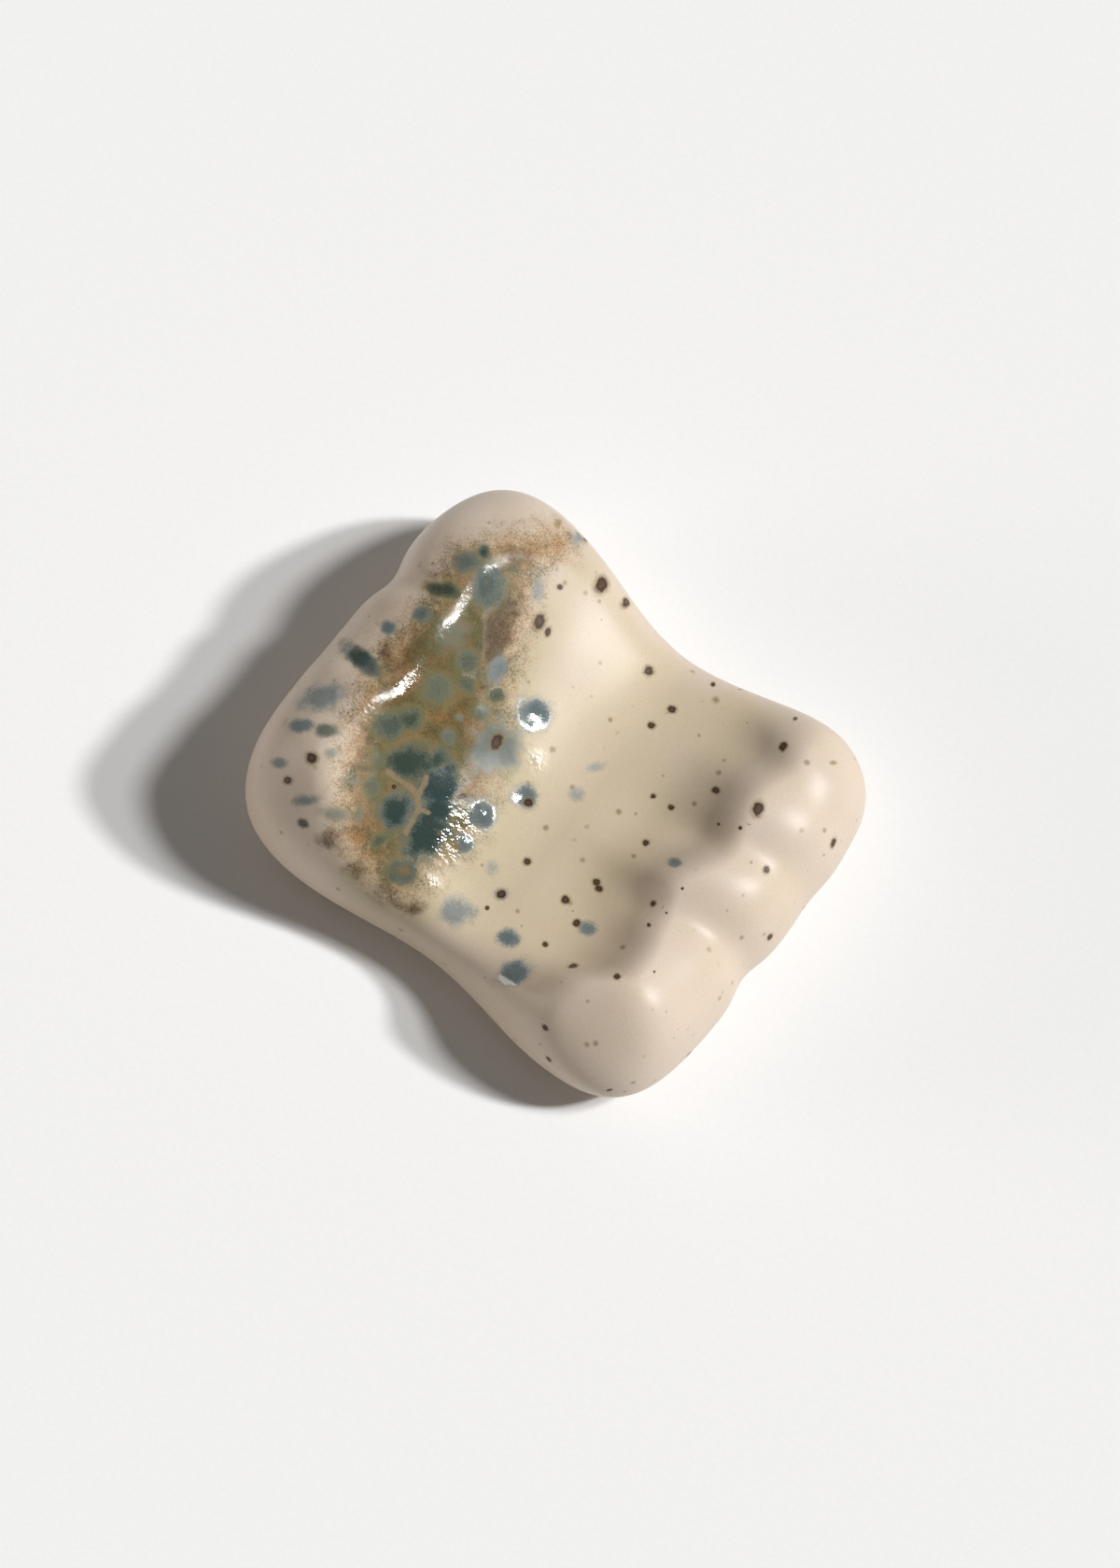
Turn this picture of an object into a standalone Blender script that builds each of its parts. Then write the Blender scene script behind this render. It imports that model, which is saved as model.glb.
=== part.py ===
"""A chopstick rest squeezed by hand from a lump of clay: two raised ridges with a saddle between.

The fired stoneware body stands on a flat bare foot. A cream glaze coats it from the top down to
just above the foot, and a pool of a second, brown and blue-green glaze lies over the left ridge.
X runs across the two ridges, Y along them, Z up; the foot is at Z = 0 and lengths are in metres.
"""
import math

import bmesh
import bpy
import numpy as np

# Plan outline: a rounded rectangle, waisted at both ends of the saddle
HALF_LENGTH = 0.0290
HALF_WIDTH = 0.0256
CORNER_POWER = 5.2
SKEW = -0.0376
WAIST_BACK = 0.0041
WAIST_FRONT = 0.0033
WAIST_X = 0.0008
WAIST_WIDTH = 0.0137

# The uncarved block: its height at the left and right before the shoulders are rounded off, the
# place and the run of the change between them, and how far its ends droop
LEFT_HEIGHT = 0.0219
RIGHT_HEIGHT = 0.0157
STEP_X = -0.0020
STEP_RUN = 0.0140
END_DROOP = 0.0004

# The hollow between the ridges: its floor, the slope up to the left and the radius it bends in,
# and the rise to the right with the run and the power of its curve
SADDLE_HEIGHT = 0.0097
SADDLE_X = 0.0040
LEFT_SLOPE = 0.83
LEFT_BEND = 0.0110
RIGHT_RISE = 0.0046
RIGHT_RUN = 0.0131
RIGHT_POWER = 3.0

# Rounding of the crests where the hollow meets the block: along the taller ridge, along the lower
# one with the run of the change, and at the back end; rounding of the rim's height round the wall
CREST_ROUNDING = 0.0014
RIGHT_CREST_ROUNDING = 0.0030
RIGHT_CREST_RUN = 0.0120
BACK_CREST_ROUNDING = 0.0045
BACK_CREST_Y = 0.0150
BACK_CREST_RUN = 0.0060
RIM_ROUNDING = 0.0060

# The widest line round the wall as a share of the rim's height, the roundness of the shoulders
# above it, where that roundness changes from right to left and towards the back of the left and
# the front of the right shoulder, and the turn under it to the foot
EQUATOR_SHARE = 0.36
LEFT_SHOULDER_POWER = 5.5
RIGHT_SHOULDER_POWER = 6.1
SHOULDER_CHANGE_X = 0.0080
SHOULDER_CHANGE_RUN = 0.0220
BACK_SHOULDER_POWER = 6.2
BACK_SHOULDER_Y = 0.0060
BACK_SHOULDER_RUN = 0.0160
FRONT_SHOULDER_POWER = 3.0
FRONT_SHOULDER_Y = -0.0150
FRONT_SHOULDER_RUN = -0.0120
HOLLOW_EDGE_POWER = 11.0
UNDERSIDE_POWER = 2.5
FOOT_SHARE = 0.74

# Dents that the fingers left across the ridges: side, Y on the crest, slant of the dent in plan,
# depth over the crest, depth in the outer wall, half width
FINGER_DENTS = (
    (-1, 0.0072, 0.0, 0.0001, 0.0010, 0.0030),
    (1, 0.0140, 0.1, 0.0005, 0.0001, 0.0024),
    (1, 0.0050, 0.2, 0.0008, 0.0003, 0.0028),
    (1, -0.0054, 0.15, 0.0012, 0.0008, 0.0028),
)
DENT_START_X = 0.0110
DENT_RUN = 0.0090
WALL_DENT_START_X = 0.0160
WALL_DENT_RUN = 0.0120
CREST_X = 0.0210

# Scallops that the fingertips pressed into the lower ridge's inner edge: Y, half width and shift
SCALLOPS = (
    (0.0155, 0.0025, 0.0008),
    (0.0105, 0.0025, -0.0004),
    (0.0034, 0.0026, 0.0013),
    (-0.0030, 0.0026, -0.0013),
    (-0.0110, 0.0034, 0.0010),
)
# Changes along Y, each as its start, its run (towards -Y when negative) and its size: the shift of
# the lower ridge's inner edge at its front lobe, the rise of the saddle to its front lip, the rise
# and fall of the taller ridge's crest, and the rise of the lower ridge to its front lobe
FRONT_LOBE = ((-0.0135, -0.0060, -0.0030),)
FRONT_LIP = ((-0.0130, -0.0110, 0.0011),)
FRONT_LIP_X = -0.0090
FRONT_LIP_RUN = 0.0090
CREST_STEPS = (
    (-0.0005, 0.0055, 0.0008),
    (0.0110, 0.0110, -0.0024),
    (-0.0034, -0.0045, 0.0010),
    (-0.0075, -0.0070, 0.0004),
    (-0.0140, -0.0090, -0.0022),
)
CREST_STEPS_X = -0.0080
CREST_STEPS_RUN = -0.0080
LOBE_STEPS = ((-0.0060, -0.0140, 0.0030),)
LOBE_STEPS_X = 0.0040
LOBE_STEPS_RUN = 0.0080

# Layers: thickness of each glaze, the clearance between layers and the level where the coat ends
COAT_THICKNESS = 0.0005
POOL_THICKNESS = 0.0005
CLEARANCE = 0.0003
COAT_END_LEVEL = -0.6

# The glaze pool: centre and half sizes in plan, the lobes of its edge (how many, height as a share
# of the reach, turn), the share of its thickness left at the edge, where its top starts to thin
# down, and how far the coat dips in beyond it
POOL_X = -0.0138
POOL_Y = -0.0005
POOL_HALF_X = 0.0092
POOL_HALF_Y = 0.0175
POOL_LOBES = ((2, 0.05, 0.6), (3, 0.06, 2.2), (5, 0.035, 0.9))
POOL_EDGE_SHARE = 0.3
POOL_THIN_START = 0.7
POOL_DIP_RUN = 0.0030
POOL_CELLS_X = 14
POOL_CELLS_Y = 24

# Squares along each edge of the cube that the form is drawn from
CUBE_CELLS = 27
# Angle that the cube's top face covers, measured down from the top
TOP_FACE_ANGLE = math.radians(45.0)
OUTLINE_STEPS = 720

# Colours (linear), roughness and metallic value of each layer
STONEWARE = ((0.46, 0.36, 0.26), 0.85, 0.0)
CREAM_GLAZE = ((0.62, 0.53, 0.39), 0.42, 0.0)
REACTIVE_GLAZE = ((0.24, 0.18, 0.11), 0.20, 0.0)


def blend(value):
    """Rise from 0 to 1 with level ends, a fifth-power curve."""
    t = np.clip(value, 0.0, 1.0)
    return t ** 3 * (t * (6.0 * t - 15.0) + 10.0)


def dent(x, y, side, crest_y, slant, half_width):
    """Bell-shaped share of a finger dent at a plan point, 1 along its centre line."""
    centre = crest_y + slant * (x * side - CREST_X)
    return np.exp(-((y - centre) / half_width) ** 2)


def raw_outline(theta):
    """Plan outline before it is centred: a superellipse with a waist, a skew and finger dents."""
    c = np.cos(theta)
    s = np.sin(theta)
    reach = (np.abs(c) ** CORNER_POWER + np.abs(s) ** CORNER_POWER) ** (-1.0 / CORNER_POWER)
    x = HALF_LENGTH * reach * c
    y = HALF_WIDTH * reach * s
    depth = np.where(s > 0.0, WAIST_BACK, WAIST_FRONT)
    waist = np.exp(-((x - WAIST_X) / WAIST_WIDTH) ** 2) * np.minimum(1.0, np.abs(reach * s)) ** 2
    y = y - np.sign(s) * depth * waist + SKEW * x
    for side, crest_y, slant, _, wall_depth, half_width in FINGER_DENTS:
        share = blend((x * side - WALL_DENT_START_X) / WALL_DENT_RUN)
        x = x - side * wall_depth * share * dent(x, y, side, crest_y, slant, half_width)
    return x, y


def outline(theta):
    """Plan outline with the middle of its box at the origin."""
    steps = np.linspace(0.0, 2.0 * math.pi, OUTLINE_STEPS, endpoint=False)
    all_x, all_y = raw_outline(steps)
    x, y = raw_outline(theta)
    return x - (all_x.min() + all_x.max()) / 2.0, y - (all_y.min() + all_y.max()) / 2.0


def changes(y, steps):
    """Sum of smooth steps along Y."""
    return sum(size * blend((y - start) / run) for start, run, size in steps)


def block(x, y):
    """Height of the uncarved block: taller on the left, its crests uneven, with drooping ends."""
    left = 0.5 * (1.0 - np.tanh((x - STEP_X) / STEP_RUN))
    height = RIGHT_HEIGHT + (LEFT_HEIGHT - RIGHT_HEIGHT) * left
    height = height + changes(y, CREST_STEPS) * blend((x - CREST_STEPS_X) / CREST_STEPS_RUN)
    height = height + changes(y, LOBE_STEPS) * blend((x - LOBE_STEPS_X) / LOBE_STEPS_RUN)
    return height - END_DROOP * (y / HALF_WIDTH) ** 2


def hollow(x, y):
    """Height of the hollow: a bend into an even slope on the left, a power curve that ends in
    scallops on the right."""
    shift = changes(y, FRONT_LOBE)
    for scallop_y, half_width, size in SCALLOPS:
        shift = shift + size * np.exp(-((y - scallop_y) / half_width) ** 2)
    out_left = np.maximum(SADDLE_X - x, 0.0)
    out_right = np.maximum(x - SADDLE_X - shift, 0.0)
    height = SADDLE_HEIGHT + LEFT_SLOPE * (np.hypot(out_left, LEFT_BEND) - LEFT_BEND)
    height = height + RIGHT_RISE * (out_right / RIGHT_RUN) ** RIGHT_POWER
    height = height + changes(y, FRONT_LIP) * blend((x - FRONT_LIP_X) / FRONT_LIP_RUN)
    return height - END_DROOP * (y / HALF_WIDTH) ** 2


def soft_min(a, b, rounding):
    """The lower of two heights, rounded off where they cross."""
    near = np.maximum(rounding - np.abs(a - b), 0.0) / rounding
    return np.minimum(a, b) - near ** 2 * rounding / 4.0


def equator_height(edge_x, edge_y):
    """Height of the widest line at a point of the outline."""
    return EQUATOR_SHARE * soft_min(block(edge_x, edge_y), hollow(edge_x, edge_y), RIM_ROUNDING)


def shoulder_power(edge_x, edge_y):
    """Roundness of the shoulder at a point of the outline."""
    change = blend((SHOULDER_CHANGE_X - edge_x) / SHOULDER_CHANGE_RUN)
    back = blend((edge_y - BACK_SHOULDER_Y) / BACK_SHOULDER_RUN)
    front = blend((edge_y - FRONT_SHOULDER_Y) / FRONT_SHOULDER_RUN)
    left = LEFT_SHOULDER_POWER + (BACK_SHOULDER_POWER - LEFT_SHOULDER_POWER) * back
    right = RIGHT_SHOULDER_POWER + (FRONT_SHOULDER_POWER - RIGHT_SHOULDER_POWER) * front
    return right + (left - right) * change


def crest_rounding(x, y):
    """Rounding of the crest at a plan point: wider on the lower ridge and at the back end."""
    rounding = CREST_ROUNDING + (RIGHT_CREST_ROUNDING - CREST_ROUNDING) * blend(x / RIGHT_CREST_RUN)
    softer = blend((y - BACK_CREST_Y) / BACK_CREST_RUN)
    return rounding + (BACK_CREST_ROUNDING - rounding) * softer


def upper_surface(x, y, rho, edge_x, edge_y, equator):
    """Height of the top at a plan point that lies at share rho of the way to the outline."""
    power = shoulder_power(edge_x, edge_y)
    full = np.sqrt(np.clip(1.0 - rho ** power, 0.0, 1.0))
    edge = np.sqrt(np.clip(1.0 - rho ** HOLLOW_EDGE_POWER, 0.0, 1.0))
    outer = equator + (block(x, y) - equator) * full
    inner = equator + (hollow(x, y) - equator) * edge
    height = np.maximum(soft_min(outer, inner, crest_rounding(x, y)), equator)
    for side, crest_y, slant, depth, _, half_width in FINGER_DENTS:
        share = blend((x * side - DENT_START_X) / DENT_RUN) * full
        height = height - depth * share * dent(x, y, side, crest_y, slant, half_width)
    return height


def form(theta, phi):
    """The outer surface: phi runs from the top (pi/2) over the widest line (0) to the foot."""
    rho = np.cos(phi)
    edge_x, edge_y = outline(theta)
    equator = equator_height(edge_x, edge_y)
    x = edge_x * rho
    y = edge_y * rho
    under = np.clip((rho - FOOT_SHARE) / (1.0 - FOOT_SHARE), 0.0, 1.0) ** UNDERSIDE_POWER
    below = equator * (1.0 - np.sqrt(1.0 - under))
    z = np.where(phi >= 0.0, upper_surface(x, y, rho, edge_x, edge_y, equator), below)
    return np.stack((x, y, z), axis=-1)


def top_at(x, y):
    """Height of the upper surface straight above a plan point."""
    turn = 2.0 * math.pi
    ring_x, ring_y = outline(np.linspace(0.0, turn, OUTLINE_STEPS, endpoint=False))
    ring_bearing = np.arctan2(ring_y, ring_x)
    bearing = np.arctan2(y, x)
    reach = np.interp(bearing, ring_bearing, np.hypot(ring_x, ring_y), period=turn)
    equator = np.interp(bearing, ring_bearing, equator_height(ring_x, ring_y), period=turn)
    edge_x = reach * np.cos(bearing)
    edge_y = reach * np.sin(bearing)
    return upper_surface(x, y, np.hypot(x, y) / reach, edge_x, edge_y, equator)


def pool_reach(bearing):
    """Reach of the pool's edge in its own oval measure: 1 with a few soft lobes."""
    return 1.0 + sum(height * np.cos(count * bearing + turn) for count, height, turn in POOL_LOBES)


def pool_thickness(share):
    """Thickness of the pool at a share of the way out to its edge: even, then thinning down."""
    thin = blend((share - POOL_THIN_START) / (1.0 - POOL_THIN_START))
    return POOL_THICKNESS * (1.0 - (1.0 - POOL_EDGE_SHARE) * thin)


def pool_seat(x, y, phi):
    """Depth of the dip that the coat makes to seat the pool, ending a little beyond its edge."""
    dx = (x - POOL_X) / POOL_HALF_X
    dy = (y - POOL_Y) / POOL_HALF_Y
    share = np.hypot(dx, dy) / pool_reach(np.arctan2(dy, dx))
    distance = np.hypot(x - POOL_X, y - POOL_Y)
    beyond = distance * (1.0 - 1.0 / np.maximum(share, 1.0))
    depth = pool_thickness(share) + CLEARANCE
    return np.where(phi > 0.0, depth * (1.0 - blend(beyond / POOL_DIP_RUN)), 0.0)


def make_material(name, colour, roughness, metallic):
    material = bpy.data.materials.new(name)
    material.use_nodes = True
    shader = material.node_tree.nodes["Principled BSDF"]
    shader.inputs["Base Color"].default_value = (*colour, 1.0)
    shader.inputs["Roughness"].default_value = roughness
    shader.inputs["Metallic"].default_value = metallic
    material.diffuse_color = (*colour, 1.0)
    return material


def add_object(name, mesh, collection, look):
    obj = bpy.data.objects.new(name, mesh)
    collection.objects.link(obj)
    mesh.materials.append(make_material(name, *look))
    mesh.polygons.foreach_set("use_smooth", np.ones(len(mesh.polygons), dtype=bool))
    return obj


def add_shell(obj, thickness):
    """Thicken an open surface inwards into a closed shell."""
    solid = obj.modifiers.new("glaze_thickness", 'SOLIDIFY')
    solid.thickness = thickness
    solid.offset = -1.0
    solid.use_even_offset = True
    solid.use_rim = True
    return solid


def cube_cage(name):
    """A cube cut into squares, as a mesh, with the angles that each vertex takes on the form."""
    bm = bmesh.new()
    bmesh.ops.create_cube(bm, size=2.0)
    bmesh.ops.subdivide_edges(bm, edges=bm.edges[:], cuts=CUBE_CELLS - 1, use_grid_fill=True)
    mesh = bpy.data.meshes.new(name)
    bm.to_mesh(mesh)
    bm.free()
    cage = read_vertices(mesh)
    ring = np.maximum(np.abs(cage[:, 0]), np.abs(cage[:, 1]))
    theta = np.arctan2(cage[:, 1], cage[:, 0])
    foot_angle = math.acos(FOOT_SHARE)
    level = cage[:, 2]
    phi = np.where(level > 0.0, level * TOP_FACE_ANGLE, level * foot_angle)
    phi = phi + (1.0 - ring) * np.where(level > 0.0, math.pi / 2.0 - TOP_FACE_ANGLE,
                                        foot_angle - math.pi / 2.0)
    return mesh, theta, phi, level


def read_vertices(mesh, field="co"):
    values = np.empty(len(mesh.vertices) * 3, dtype=np.float32)
    mesh.vertices.foreach_get(field, values)
    return values.reshape(-1, 3).astype(np.float64)


def write_vertices(mesh, points):
    mesh.vertices.foreach_set("co", points.astype(np.float32).ravel())
    mesh.update()


def dipped_points(mesh, theta, phi):
    """Put a cage on the outer form; give its points, normals and the seat of the pool below them."""
    points = form(theta, phi)
    write_vertices(mesh, points)
    normals = read_vertices(mesh, "normal")
    seat = pool_seat(points[:, 0], points[:, 1], phi)
    return points, normals, seat


def build_body(collection):
    """The clay: the outer form drawn in by the glaze and the clearance, down to a flat foot."""
    mesh, theta, phi, level = cube_cage("stoneware_body")
    points, normals, seat = dipped_points(mesh, theta, phi)
    inset = COAT_THICKNESS + CLEARANCE
    points = points - normals * (inset + seat)[:, None]
    drop = inset * blend((COAT_END_LEVEL - level) / (COAT_END_LEVEL + 1.0))
    points[:, 2] = np.where(level <= -1.0, 0.0, np.maximum(points[:, 2] - drop, 0.0))
    write_vertices(mesh, points)
    return add_object("stoneware_body", mesh, collection, STONEWARE)


def build_coat(collection):
    """The cream glaze: a shell over the form, open below, that dips under the pool."""
    mesh, theta, phi, level = cube_cage("cream_glaze_coat")
    points, normals, seat = dipped_points(mesh, theta, phi)
    write_vertices(mesh, points - normals * seat[:, None])
    bm = bmesh.new()
    bm.from_mesh(mesh)
    bm.verts.ensure_lookup_table()
    bare = [vert for vert in bm.verts if level[vert.index] < COAT_END_LEVEL - 0.5 / CUBE_CELLS]
    bmesh.ops.delete(bm, geom=bare, context='VERTS')
    bm.to_mesh(mesh)
    bm.free()
    obj = add_object("cream_glaze_coat", mesh, collection, CREAM_GLAZE)
    add_shell(obj, COAT_THICKNESS)
    return obj


def build_pool(collection):
    """The second glaze: an oval sheet on the form over the left ridge, thickened inwards."""
    bm = bmesh.new()
    bmesh.ops.create_grid(bm, x_segments=POOL_CELLS_X, y_segments=POOL_CELLS_Y, size=1.0)
    mesh = bpy.data.meshes.new("reactive_glaze_pool")
    bm.to_mesh(mesh)
    bm.free()
    cell = read_vertices(mesh)
    disc_x = cell[:, 0] * np.sqrt(1.0 - cell[:, 1] ** 2 / 2.0)
    disc_y = cell[:, 1] * np.sqrt(1.0 - cell[:, 0] ** 2 / 2.0)
    reach = pool_reach(np.arctan2(disc_y, disc_x))
    x = POOL_X + POOL_HALF_X * disc_x * reach
    y = POOL_Y + POOL_HALF_Y * disc_y * reach
    write_vertices(mesh, np.stack((x, y, top_at(x, y)), axis=-1))
    obj = add_object("reactive_glaze_pool", mesh, collection, REACTIVE_GLAZE)
    solid = add_shell(obj, POOL_THICKNESS)
    share = pool_thickness(np.hypot(disc_x, disc_y)) / POOL_THICKNESS
    group = obj.vertex_groups.new(name="thickness")
    for index, weight in enumerate(share):
        group.add([index], float(weight), 'REPLACE')
    solid.vertex_group = group.name
    return obj


def main():
    for obj in list(bpy.data.objects):
        bpy.data.objects.remove(obj, do_unlink=True)
    collection = bpy.data.collections.new("chopstick_rest")
    bpy.context.scene.collection.children.link(collection)
    build_body(collection)
    build_coat(collection)
    build_pool(collection)


main()
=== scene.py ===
"""Looks of a hand-squeezed stoneware chopstick rest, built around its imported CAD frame."""

import math
from functools import partial

import bpy
import numpy as np
from mathutils import Matrix, Vector


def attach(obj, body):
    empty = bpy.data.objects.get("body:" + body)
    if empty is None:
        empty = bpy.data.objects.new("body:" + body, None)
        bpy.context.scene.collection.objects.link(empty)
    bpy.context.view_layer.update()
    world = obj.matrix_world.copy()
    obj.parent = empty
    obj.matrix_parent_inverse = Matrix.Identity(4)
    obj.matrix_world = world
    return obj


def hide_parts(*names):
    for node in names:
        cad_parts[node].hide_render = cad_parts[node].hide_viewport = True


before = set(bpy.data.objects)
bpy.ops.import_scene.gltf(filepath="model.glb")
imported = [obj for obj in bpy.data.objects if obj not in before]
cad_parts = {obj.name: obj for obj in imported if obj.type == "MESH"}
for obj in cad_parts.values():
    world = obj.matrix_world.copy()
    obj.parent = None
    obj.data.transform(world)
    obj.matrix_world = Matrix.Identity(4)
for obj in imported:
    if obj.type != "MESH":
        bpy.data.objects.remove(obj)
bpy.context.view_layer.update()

bl_info = {
    "name": "Glazed chopstick rest",
    "version": (1, 0, 0),
    "blender": (4, 5, 0),
    "location": "View3D > Sidebar > Chopstick rest",
    "description": "Clay body, glaze skin and stage of a hand-squeezed stoneware chopstick rest",
    "category": "Mesh",
}

MM = 0.001
TURN = 2.0 * math.pi

# Plan outline: a rounded rectangle, waisted at both ends of the saddle
CORNER_POWER = 5.2
SKEW = -0.0376
WAIST_BACK = 0.0041
WAIST_FRONT = 0.0033
WAIST_X = 0.0008
WAIST_WIDTH = 0.0137

# The block that the hand squeezed, and the hollow that the thumb drew across it
STEP_X = -0.0020
STEP_RUN = 0.0140
END_DROOP = 0.0004
SADDLE_X = 0.0040
LEFT_SLOPE = 0.83
LEFT_BEND = 0.0110
RIGHT_RISE = 0.0046
RIGHT_RUN = 0.0131
RIGHT_POWER = 3.0
CREST_ROUNDING = 0.0014
RIGHT_CREST_ROUNDING = 0.0030
RIGHT_CREST_RUN = 0.0120
BACK_CREST_ROUNDING = 0.0045
BACK_CREST_Y = 0.0150
BACK_CREST_RUN = 0.0060
RIM_ROUNDING = 0.0060
# The crests' rounding dies away near the widest line, over this share of the shoulder's height
RIM_FADE = 0.35
RIM_LEAST = 0.001

# The widest line of the wall, the shoulders above it and the turn below it
EQUATOR_SHARE = 0.36
LEFT_SHOULDER_POWER = 5.5
RIGHT_SHOULDER_POWER = 6.1
SHOULDER_CHANGE_X = 0.0080
SHOULDER_CHANGE_RUN = 0.0220
BACK_SHOULDER_POWER = 6.2
BACK_SHOULDER_Y = 0.0060
BACK_SHOULDER_RUN = 0.0160
FRONT_SHOULDER_POWER = 3.0
FRONT_SHOULDER_Y = -0.0150
FRONT_SHOULDER_RUN = -0.0120
HOLLOW_EDGE_POWER = 11.0
UNDERSIDE_POWER = 2.5
FOOT_SHARE = 0.74

# Finger dents: side, Y on the crest, slant in plan, depth on the crest and in the wall, half width
FINGER_DENTS = (
    (-1, 0.0072, 0.0, 0.0001, 0.0010, 0.0030),
    (1, 0.0140, 0.1, 0.0005, 0.0001, 0.0024),
    (1, 0.0050, 0.2, 0.0008, 0.0003, 0.0028),
    (1, -0.0054, 0.15, 0.0012, 0.0008, 0.0028),
)
DENT_START_X = 0.0110
DENT_RUN = 0.0090
WALL_DENT_START_X = 0.0160
WALL_DENT_RUN = 0.0120
CREST_X = 0.0210
OUTLINE_STEPS = 720

# Scallops of the lower ridge's inner edge: Y, half width and shift of each
SCALLOPS = (
    (0.0155, 0.0025, 0.0008),
    (0.0105, 0.0025, -0.0004),
    (0.0034, 0.0026, 0.0013),
    (-0.0030, 0.0026, -0.0013),
    (-0.0110, 0.0034, 0.0010),
)
# Changes along Y: where each starts, its run (towards -Y when negative) and its size
FRONT_LOBE = ((-0.0135, -0.0060, -0.0030),)
FRONT_LIP = ((-0.0130, -0.0110, 0.0011),)
FRONT_LIP_X = -0.0090
FRONT_LIP_RUN = 0.0090
CREST_STEPS = (
    (-0.0005, 0.0055, 0.0008),
    (0.0110, 0.0110, -0.0024),
    (-0.0034, -0.0045, 0.0010),
    (-0.0075, -0.0070, 0.0004),
    (-0.0140, -0.0090, -0.0022),
)
CREST_STEPS_X = -0.0080
CREST_STEPS_RUN = -0.0080
LOBE_STEPS = ((-0.0060, -0.0140, 0.0030),)
LOBE_STEPS_X = 0.0040
LOBE_STEPS_RUN = 0.0080

# Soft unevenness left by the hand: wave length, height, bearing in degrees and phase of each wave
HAND_WAVES = (
    (0.0130, 0.00005, 20.0, 0.4),
    (0.0105, 0.00003, 75.0, 2.1),
    (0.0086, 0.00002, 128.0, 4.0),
    (0.0062, 0.00001, 170.0, 1.2),
)

# Layers: the CAD coat ends at this share of the way from the widest line to the foot
COAT_END_SHARE = 0.6
GLAZE_CLEARANCE = 0.0003

# Grid of the surfaces: columns round the wall, rows of each stretch, the least cell with a facing
COLUMNS = 480
TOP_ROWS = 150
UNDER_ROWS = 14
RIM_ROWS = 5
INNER_STEP = 6
BODY_TOP_ROWS = 40
BODY_FOOT_ROWS = 12
BODY_SOLE_ROWS = 8
LEAST_CELL = 1e-13

# The photograph's view: bearing and height of the camera, its distance and target, and the width
# of the picture there
VIEW_AZIMUTH = 37.0
VIEW_ELEVATION = 70.0
VIEW_DISTANCE = 0.7
VIEW_TARGET = (0.0, 0.00066, 0.008)
VIEW_WIDTH = 0.120
VIEW_HEIGHT_SHARE = 1680.0 / 1200.0
SENSOR = 36.0
# Walls that turn from the view: the least cosine that it sees, the run over which the stains fade
# out, how far that pushes them past their edges, and a distance at which none shows
SEEN_FACING = 0.03
SEEN_FADE = 0.22
SPOT_FADE = 1.5
STAIN_FADE = 5.0
UNSEEN = 9.0

# Edge of the brown reactive glaze in the view plane, millimetres right and up of the target
REACTIVE_EDGE = (
    (-9.7, 25.9), (-6.3, 26.8), (-3.0, 27.3), (0.0, 27.8), (1.7, 26.2), (1.0, 24.4), (-1.2, 23.5),
    (-2.6, 21.7), (-3.0, 17.7), (-4.2, 14.0), (-4.8, 10.7), (-5.2, 6.7), (-5.6, 2.7), (-6.8, -0.3),
    (-8.5, -5.3), (-10.2, -7.4), (-12.4, -9.0), (-14.2, -10.8), (-16.0, -12.4), (-18.6, -11.4),
    (-21.6, -8.8), (-23.8, -5.8), (-24.0, -3.0), (-23.8, 0.3), (-23.4, 3.3), (-23.2, 6.3),
    (-22.0, 10.3), (-19.6, 14.7), (-16.8, 17.7), (-14.4, 20.3), (-13.0, 23.0), (-11.7, 25.2),
)

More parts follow.
